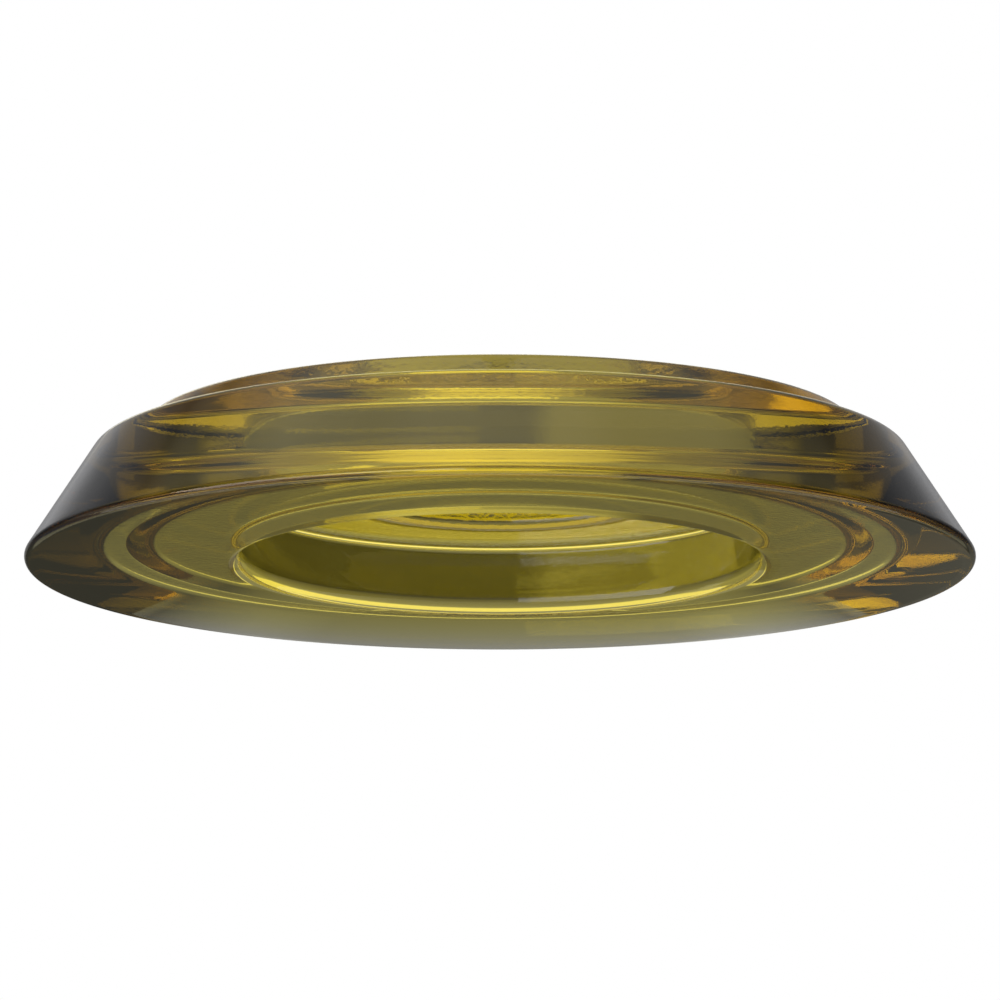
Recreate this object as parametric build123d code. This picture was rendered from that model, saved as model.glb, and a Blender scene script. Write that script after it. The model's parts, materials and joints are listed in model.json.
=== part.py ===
from build123d import *
import math
import os

# Pressed amber glass trim ring: one solid of revolution about +Z, in millimetres.
# The origin is the centre of the broad lower face, and the narrow rim is at the top.

# Overall form
OUTER_RADIUS = 57.15  # widest point of the rounded lower edge: a 4 1/2 in ring
HEIGHT = 17.3
SIDE_SLOPE_DEG = 57.0  # conical side, measured from the lower face

# Shoulder where the conical side ends, and the raised rim that stands on it
SHOULDER_HEIGHT = 14.3
SHOULDER_INNER_RADIUS = 44.8
RIM_RADIUS = 42.2

# Recess in the lower face, for the front collar of the lamp
RECESS_RADIUS = 30.9
RECESS_DEPTH = 7.8

# Hole through the lip above the recess, for the neck of the lamp
HOLE_RADIUS = 18.1

# Shallow seat round the hole in the top face
SEAT_RADIUS = 32.0
SEAT_DEPTH = 2.0

# Roundings left by fire polishing
LOWER_EDGE_ROUND = 0.7
MOUTH_ROUND = 1.9
RECESS_CORNER_ROUND = 0.8
LIP_LOWER_ROUND = 1.4
LIP_UPPER_ROUND = 0.9
SEAT_CORNER_ROUND = 0.4
SEAT_EDGE_ROUND = 0.4
RIM_ROUND = 2.0
SHOULDER_CORNER_ROUND = 0.4
SHOULDER_EDGE_ROUND = 2.2

# The foot is the sharp corner that rounds off to OUTER_RADIUS. A rounding of radius r in a
# corner of angle a starts r / tan(a / 2) short of the corner and bulges back out by r.
slope = math.radians(SIDE_SLOPE_DEG)
foot_radius = OUTER_RADIUS - LOWER_EDGE_ROUND + LOWER_EDGE_ROUND / math.tan(slope / 2)
shoulder_radius = foot_radius - SHOULDER_HEIGHT / math.tan(slope)
seat_floor = HEIGHT - SEAT_DEPTH

# Corners of the half section, anticlockwise from the recess mouth: radius, height, rounding
SECTION_CORNERS = [
    (RECESS_RADIUS, 0, MOUTH_ROUND),
    (foot_radius, 0, LOWER_EDGE_ROUND),
    (shoulder_radius, SHOULDER_HEIGHT, SHOULDER_EDGE_ROUND),
    (SHOULDER_INNER_RADIUS, SHOULDER_HEIGHT, SHOULDER_CORNER_ROUND),
    (RIM_RADIUS, HEIGHT, RIM_ROUND),
    (SEAT_RADIUS, HEIGHT, SEAT_EDGE_ROUND),
    (SEAT_RADIUS, seat_floor, SEAT_CORNER_ROUND),
    (HOLE_RADIUS, seat_floor, LIP_UPPER_ROUND),
    (HOLE_RADIUS, RECESS_DEPTH, LIP_LOWER_ROUND),
    (RECESS_RADIUS, RECESS_DEPTH, RECESS_CORNER_ROUND),
]


def rounded_section(corners):
    """Half section of the ring in the XZ plane, with every corner rounded."""
    with BuildSketch(Plane.XZ) as section:
        with BuildLine():
            Polyline(*[(radius, height) for radius, height, _ in corners], close=True)
        make_face()
        for radius, height, rounding in corners:
            corner = section.vertices().sort_by_distance((radius, height, 0))[0]
            fillet(corner, radius=rounding)
    return section.sketch


glass_ring = revolve(rounded_section(SECTION_CORNERS), axis=Axis.Z)

os.makedirs("parts", exist_ok=True)
export_step(glass_ring, "parts/glass_ring.step")
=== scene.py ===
import json
import math

import bpy
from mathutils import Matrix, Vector


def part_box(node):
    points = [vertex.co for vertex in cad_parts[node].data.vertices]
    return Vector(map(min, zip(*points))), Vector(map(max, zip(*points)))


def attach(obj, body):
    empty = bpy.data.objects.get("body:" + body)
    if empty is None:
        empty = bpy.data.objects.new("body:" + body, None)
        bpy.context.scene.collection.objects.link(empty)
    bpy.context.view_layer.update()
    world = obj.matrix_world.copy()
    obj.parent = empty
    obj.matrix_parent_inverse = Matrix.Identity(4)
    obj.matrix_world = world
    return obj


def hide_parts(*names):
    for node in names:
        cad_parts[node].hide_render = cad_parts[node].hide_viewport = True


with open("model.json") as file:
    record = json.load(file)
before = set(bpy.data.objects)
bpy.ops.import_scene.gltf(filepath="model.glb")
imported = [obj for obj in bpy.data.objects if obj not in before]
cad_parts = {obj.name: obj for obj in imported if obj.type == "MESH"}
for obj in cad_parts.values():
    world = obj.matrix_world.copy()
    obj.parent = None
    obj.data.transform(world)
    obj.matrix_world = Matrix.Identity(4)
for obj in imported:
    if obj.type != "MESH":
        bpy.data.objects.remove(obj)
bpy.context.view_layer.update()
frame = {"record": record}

# Pressed amber glass trim ring, in metres: one turned piece of clear glass in a studio.
MM = 0.001

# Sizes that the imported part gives
ring_low, ring_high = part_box("glass_ring")
mounts = {m["name"]: m for m in frame["record"]["mounts"]}
OUTER_RADIUS = (ring_high[0] - ring_low[0]) / 2
HEIGHT = ring_high[2]
RECESS_RADIUS = mounts["recess_bore"]["dims"]["r_mm"] * MM
HOLE_RADIUS = mounts["neck_hole"]["dims"]["r_mm"] * MM
SEAT_RADIUS = mounts["seat_bore"]["dims"]["r_mm"] * MM
LIP_UNDERSIDE = mounts["lip_underside"]["pos_m"][2]
SEAT_FLOOR = mounts["top_seat"]["pos_m"][2]

# Side, shoulder and rim
SIDE_SLOPE = math.radians(57.0)
SHOULDER_HEIGHT = 14.3 * MM
SHOULDER_INNER_RADIUS = 44.8 * MM
RIM_RADIUS = 42.2 * MM
LOWER_EDGE_ROUND = 0.7 * MM

# The foot is the sharp corner that rounds off to OUTER_RADIUS
FOOT_RADIUS = OUTER_RADIUS - LOWER_EDGE_ROUND + LOWER_EDGE_ROUND / math.tan(SIDE_SLOPE / 2)
SHOULDER_RADIUS = FOOT_RADIUS - SHOULDER_HEIGHT / math.tan(SIDE_SLOPE)

# Corners of the half section, anticlockwise from the recess mouth: radius, height, rounding
SECTION = [
    (RECESS_RADIUS, 0.0, 1.9 * MM),
    (FOOT_RADIUS, 0.0, LOWER_EDGE_ROUND),
    (SHOULDER_RADIUS, SHOULDER_HEIGHT, 2.2 * MM),
    (SHOULDER_INNER_RADIUS, SHOULDER_HEIGHT, 0.4 * MM),
    (RIM_RADIUS, HEIGHT, 2.0 * MM),
    (SEAT_RADIUS, HEIGHT, 0.4 * MM),
    (SEAT_RADIUS, SEAT_FLOOR, 0.4 * MM),
    (HOLE_RADIUS, SEAT_FLOOR, 0.9 * MM),
    (HOLE_RADIUS, LIP_UNDERSIDE, 1.4 * MM),
    (RECESS_RADIUS, LIP_UNDERSIDE, 0.8 * MM),
]
TURN_STEPS = 384
ROUND_STEPS = 10
RUN_STEP = 1.0 * MM


def rounded_corner(before, corner, after, rounding):
    """Points of the arc that rounds one corner of the section."""
    a, b, c = Vector(before), Vector(corner), Vector(after)
    into, out = (b - a).normalized(), (c - b).normalized()
    half_turn = into.angle(out) / 2
    reach = rounding * math.tan(half_turn)
    start, end = b - into * reach, b + out * reach
    centre = b + (out - into).normalized() * (rounding / math.cos(half_turn))
    first_spoke, last_spoke = (start - centre).normalized(), (end - centre).normalized()
    steps = range(ROUND_STEPS + 1)
    return [centre + first_spoke.slerp(last_spoke, i / ROUND_STEPS) * rounding for i in steps]


def section_points():
    """The closed section, with rounded corners and divided runs."""
    count = len(SECTION)
    arcs = []
    for i, (radius, height, rounding) in enumerate(SECTION):
        before, after = SECTION[i - 1][:2], SECTION[(i + 1) % count][:2]
        arcs.append(rounded_corner(before, (radius, height), after, rounding))
    points = []
    for i, arc in enumerate(arcs):
        points += arc
        start, end = arc[-1], arcs[(i + 1) % count][0]
        steps = max(1, round((end - start).length / RUN_STEP))
        points += [start.lerp(end, k / steps) for k in range(1, steps)]
    return points


def turned_ring(material):
    """The glass ring: the section turned about Z."""
    points = section_points()
    count = len(points)
    vertices, faces = [], []
    for j in range(TURN_STEPS):
        turn = 2 * math.pi * j / TURN_STEPS
        vertices += [(p.x * math.cos(turn), p.x * math.sin(turn), p.y) for p in points]
        here, there = j * count, (j + 1) % TURN_STEPS * count
        for i in range(count):
            after = (i + 1) % count
            faces.append((here + i, there + i, there + after, here + after))
    mesh = bpy.data.meshes.new("glass_ring_looks")
    mesh.from_pydata(vertices, [], faces)
    mesh.polygons.foreach_set("use_smooth", [True] * len(faces))
    mesh.materials.append(material)
    mesh.update()
    ring = bpy.data.objects.new("amber_glass_ring", mesh)
    bpy.context.scene.collection.objects.link(ring)
    return ring


class Nodes:
    """Shorthand for building a node tree."""

    def __init__(self, owner):
        owner.use_nodes = True
        self.tree = owner.node_tree
        self.tree.nodes.clear()

    def set(self, socket, value):
        """Link a socket to another one, or give it a value."""
        if isinstance(value, bpy.types.NodeSocket):
            self.tree.links.new(value, socket)
        else:
            socket.default_value = value

    def add(self, kind, **inputs):
        """A node, with inputs named as on the node (_ for a space), or _ and a number."""
        node = self.tree.nodes.new("ShaderNode" + kind)
        for name, value in inputs.items():
            key = int(name[1:]) if name[1:].isdigit() else name.replace("_", " ")
            self.set(node.inputs[key], value)
        return node

    def math(self, operation, *values):
        """The result of a math node."""
        node = self.add("Math")
        node.operation = operation
        for socket, value in zip(node.inputs, values):
            self.set(socket, value)
        return node.outputs[0]

    def across(self, axes):
        """Distance from the Z axis."""
        return self.math("SQRT", self.math("ADD", *(self.math("POWER", a, 2) for a in axes[:2])))


# Glass
REFRACTIVE_INDEX = 1.52
AMBER = (0.88, 0.818, 0.11, 1)  # what a metre of glass absorbs is ABSORPTION * (1 - AMBER)
ABSORPTION = 110
CLEAR = (1, 1, 1, 1)

# Finish of each zone: heights in mm of the ripple, the stipple and the turning marks, and the haze
SIDE = (0.006, 0.0, 0.0015, 0.02)
BROAD_FACE = (0.0015, 0.0, 0.0004, 0.02)
TOP = (0.006, 0.008, 0.0, 0.03)
RECESS = (0.006, 0.006, 0.001, 0.03)
HOLE = (0.01, 0.035, 0.0, 0.05)
BROAD_FACE_BELOW = 0.3 * MM
TOP_ABOVE = SHOULDER_HEIGHT - 0.3 * MM
RECESS_WITHIN = RECESS_RADIUS + 1.0 * MM
HOLE_WITHIN = HOLE_RADIUS + 1.0 * MM

# Noise, in features to the metre and levels of detail
RIPPLE_NOISE = {"Scale": 170, "Detail": 2}
STIPPLE_NOISE = {"Scale": 1700, "Detail": 2}
TURNING_NOISE = {"Scale": 900, "Detail": 3}
SMEAR_NOISE = {"Scale": 60, "Detail": 4}
TURNING_DRIFT = 0.01  # how fast the turning marks change along their length
SMEAR_FROM, SMEAR_TO = 0.45, 0.75  # noise where the smears begin and where they are full
CLEANEST = 1 / 3  # share of the haze where there is no smear


def zone_finish(n, radius, height):
    """Ripple, stipple, turning and haze at a point of the ring, from where it is."""
    zones = (
        (n.math("LESS_THAN", radius, RECESS_WITHIN), RECESS),
        (n.math("LESS_THAN", height, BROAD_FACE_BELOW), BROAD_FACE),
        (n.math("GREATER_THAN", height, TOP_ABOVE), TOP),
        (n.math("LESS_THAN", radius, HOLE_WITHIN), HOLE),
    )
    values = []
    for k, value in enumerate(SIDE):
        for inside, finish in zones:
            value = n.add("MapRange", Value=inside, To_Min=value, To_Max=finish[k]).outputs[0]
        values.append(value)
    return values


def glass(name):
    """Amber glass with a finish that changes from zone to zone."""
    material = bpy.data.materials.new(name)
    n = Nodes(material)
    place = n.add("TexCoord").outputs["Object"]
    axes = n.add("SeparateXYZ", Vector=place).outputs
    radius, height = n.across(axes), axes[2]
    ripple, stipple, turning, haze = zone_finish(n, radius, height)
    waves = n.add("TexNoise", Vector=place, **RIPPLE_NOISE).outputs["Fac"]
    grain = n.add("TexNoise", Vector=place, **STIPPLE_NOISE).outputs["Fac"]
    along = n.math("ADD", radius, height)
    drift = n.math("MULTIPLY", axes[0], TURNING_DRIFT)
    turned = n.add("CombineXYZ", X=along, Y=drift).outputs[0]
    lines = n.add("TexNoise", Vector=turned, **TURNING_NOISE).outputs["Fac"]
    relief = n.math("MULTIPLY", waves, ripple)
    relief = n.math("ADD", relief, n.math("MULTIPLY", grain, stipple))
    relief = n.math("ADD", relief, n.math("MULTIPLY", lines, turning))
    bump = n.add("Bump", Height=relief, Strength=1.0, Distance=MM)
    smear = n.add("TexNoise", Vector=place, **SMEAR_NOISE).outputs["Fac"]
    share = n.add(
        "MapRange", Value=smear, From_Min=SMEAR_FROM, From_Max=SMEAR_TO, To_Min=CLEANEST, To_Max=1.0,
    )
    surface = n.add(
        "BsdfPrincipled", Base_Color=CLEAR, Transmission_Weight=1.0, IOR=REFRACTIVE_INDEX,
        Roughness=n.math("MULTIPLY", haze, share.outputs[0]), Normal=bump.outputs[0],
    )
    inside = n.add("VolumeAbsorption", Color=AMBER, Density=ABSORPTION)
    n.add("OutputMaterial", Surface=surface.outputs[0], Volume=inside.outputs[0])
    return material


ring = turned_ring(glass("amber_glass"))
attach(ring, "root")
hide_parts("glass_ring")


# Studio round the ring, seen through and in the glass. Angles are in degrees.
# Azimuth is 0 straight behind the ring (+Y) and grows towards the right (+X).
# Each zone is a list of elevation and brightness, where white is 1.
BEHIND = [
    (-90, 0.62), (-45, 0.38), (-14.5, 0.36),  # table top
    (-13.2, 0.1), (-3, 0.06),  # shade past its far edge
    (0, 0.15), (15, 0.34), (19, 0.5), (38, 0.3),  # far wall with a pale strip along it
    (60, 0.33), (75, 0.45),  # ceiling
]
FLANKS = [
    (-90, 0.65), (-45, 0.5),  # table top
    (-32, 0.12), (5, 0.03),  # shade past its edge
    (15, 0.18), (30, 0.28), (42, 0.12),  # wall
    (65, 0.7), (90, 0.9),  # ceiling
]
SIDES = [
    (-45, 0.38), (-25, 0.2), (-10, 0.25),  # table top and what stands past it
    (8, 0.07), (25, 0.3), (48, 0.34),  # wall
    (60, 1.1),  # lit ceiling
]
IN_FRONT = [
    (-90, 0.4), (-45, 0.6), (-12, 0.32),  # floor below the camera
    (5, 0.6), (33, 0.9), (45, 0.9),  # lit room behind the camera
    (78, 1.45), (90, 1.0),  # lit ceiling
]
# Colours of the light: off the table, from lamps, plain, and from the sky
STRAW, WARM = Vector((1.0, 0.93, 0.55)), Vector((1.0, 0.95, 0.72))
NEUTRAL, COOL = Vector((1.0, 1.0, 1.02)), Vector((0.95, 1.0, 1.3))
LOW_COLOUR_BELOW, HIGH_COLOUR_ABOVE = -20, 15
# Zones from behind to in front: brightness, colour low down and high up, azimuths it fades in between
LATER_ZONES = [
    (FLANKS, COOL, NEUTRAL, 20, 30),
    (SIDES, COOL, WARM, 48, 58),
    (IN_FRONT, COOL, WARM, 110, 130),
]
# Lit panels: azimuth, elevation, half width and half height, brightness, colour
PANELS = [
    (-133, -27, 38, 24, 2.2, NEUTRAL),  # window
    (-59, -31, 7, 6, 1.0, WARM),  # light at the left
    (-3, 25, 9, 6, 1.3, WARM),  # light behind
    (14, -7, 12, 4.5, 0.2, WARM),  # bounce card
]
PANEL_EDGE = 1.0
# The studio is brighter on the left: its strength falls from the first value to the second
# as the X of a direction goes from -SIDEWAYS to SIDEWAYS
LEFT_STRENGTH, RIGHT_STRENGTH, SIDEWAYS = 1.2, 0.8, 0.5


def elevation_ramp(n, elevation, stops, low_colour, high_colour):
    """Brightness that follows the elevation, with one colour low down and one high up."""
    share = n.add("MapRange", Value=elevation, From_Min=-90, From_Max=90).outputs[0]
    ramp = n.add("ValToRGB", Fac=share)
    elements = ramp.color_ramp.elements
    while len(elements) < len(stops):
        elements.new(0.5)
    for element, (height, level) in zip(elements, stops):
        element.position = (height + 90) / 180
        rise = (height - LOW_COLOUR_BELOW) / (HIGH_COLOUR_ABOVE - LOW_COLOUR_BELOW)
        colour = low_colour.lerp(high_colour, min(max(rise, 0), 1))
        element.color = (*(colour * level), 1)
    return ramp.outputs[0]


def lit_panel(n, base, azimuth, elevation, panel):
    """The base brightness with one evenly lit panel laid over it."""
    centre_azimuth, centre_elevation, half_width, half_height, level, colour = panel
    shares = []
    for angle, centre, half in (
        (azimuth, centre_azimuth, half_width),
        (elevation, centre_elevation, half_height),
    ):
        off = n.math("ABSOLUTE", n.math("SUBTRACT", angle, centre))
        share = n.add("MapRange", Value=off, From_Min=half + PANEL_EDGE, From_Max=half)
        shares.append(share.outputs[0])
    lit = (*(colour * level), 1)
    return n.add("MixRGB", Fac=n.math("MULTIPLY", *shares), Color1=base, Color2=lit).outputs[0]


def studio():
    """White for the camera, and the shaded studio for every other ray."""
    world = bpy.data.worlds.new("studio")
    n = Nodes(world)
    axes = n.add("SeparateXYZ", Vector=n.add("TexCoord").outputs["Generated"]).outputs
    elevation = n.math("DEGREES", n.math("ARCSINE", axes[2]))
    azimuth = n.math("DEGREES", n.math("ARCTAN2", axes[0], axes[1]))
    cosine = n.math("DIVIDE", axes[1], n.across(axes))
    level = elevation_ramp(n, elevation, BEHIND, STRAW, NEUTRAL)
    for stops, low_colour, high_colour, *edges in LATER_ZONES:
        start, end = (math.cos(math.radians(edge)) for edge in edges)
        share = n.add("MapRange", Value=cosine, From_Min=start, From_Max=end).outputs[0]
        zone = elevation_ramp(n, elevation, stops, low_colour, high_colour)
        level = n.add("MixRGB", Fac=share, Color1=level, Color2=zone).outputs[0]
    for panel in PANELS:
        level = lit_panel(n, level, azimuth, elevation, panel)
    strength = n.add(
        "MapRange", Value=axes[0], From_Min=-SIDEWAYS, From_Max=SIDEWAYS,
        To_Min=LEFT_STRENGTH, To_Max=RIGHT_STRENGTH,
    )
    shaded = n.add("Background", Color=level, Strength=strength.outputs[0])
    white = n.add("Background", Color=(1, 1, 1, 1))
    to_camera = n.add("LightPath").outputs["Is Camera Ray"]
    seen = n.add("MixShader", Fac=to_camera, _1=shaded.outputs[0], _2=white.outputs[0])
    n.add("OutputWorld", Surface=seen.outputs[0])
    return world


bpy.context.scene.world = studio()


# Floor
FLOOR_DROP = 1.0
FLOOR_RADIUS = 1.5
FLOOR_SIDES = 96
FLOOR_DARK, FLOOR_PALE = (0.74, 0.74, 0.75, 1), (0.8, 0.8, 0.8, 1)
FLOOR_NOISE = {"Scale": 3, "Detail": 4}
FLOOR_ROUGHNESS = 0.7
FLOOR_GLOW = 0.3  # white light that it gives off, so that it stays pale


def pale_floor():
    """Matt pale floor with a faint cloudy tone."""
    material = bpy.data.materials.new("pale_floor")
    n = Nodes(material)
    place = n.add("TexCoord").outputs["Object"]
    cloud = n.add("TexNoise", Vector=place, **FLOOR_NOISE).outputs["Fac"]
    tone = n.add("MixRGB", Fac=cloud, Color1=FLOOR_DARK, Color2=FLOOR_PALE)
    surface = n.add(
        "BsdfPrincipled", Base_Color=tone.outputs[0], Roughness=FLOOR_ROUGHNESS,
        Emission_Color=(1, 1, 1, 1), Emission_Strength=FLOOR_GLOW,
    )
    n.add("OutputMaterial", Surface=surface.outputs[0])
    return material


bpy.ops.mesh.primitive_circle_add(
    vertices=FLOOR_SIDES, radius=FLOOR_RADIUS, fill_type="NGON", location=(0, 0, -FLOOR_DROP),
)
floor = bpy.context.object
floor.name = "floor"
floor.data.materials.append(pale_floor())


# Camera
VIEW_BELOW = math.radians(11.0)
VIEW_DISTANCE = 30 * OUTER_RADIUS
FRAME_WIDTH = 120.22 * MM
AIM = Vector((0, 0, 7.91 * MM))
SENSOR_WIDTH = 36
CLIP_START, CLIP_END = 0.05, 20

camera_data = bpy.data.cameras.new("camera")
camera_data.sensor_width = SENSOR_WIDTH
camera_data.lens = SENSOR_WIDTH * VIEW_DISTANCE / FRAME_WIDTH
camera_data.clip_start = CLIP_START
camera_data.clip_end = CLIP_END
camera = bpy.data.objects.new("camera", camera_data)
bpy.context.scene.collection.objects.link(camera)
camera.location = AIM + VIEW_DISTANCE * Vector((0, -math.cos(VIEW_BELOW), -math.sin(VIEW_BELOW)))
camera.rotation_mode = "QUATERNION"
camera.rotation_quaternion = (AIM - camera.location).to_track_quat("-Z", "Y")
bpy.context.scene.camera = camera
bpy.context.scene.view_settings.view_transform = "Standard"
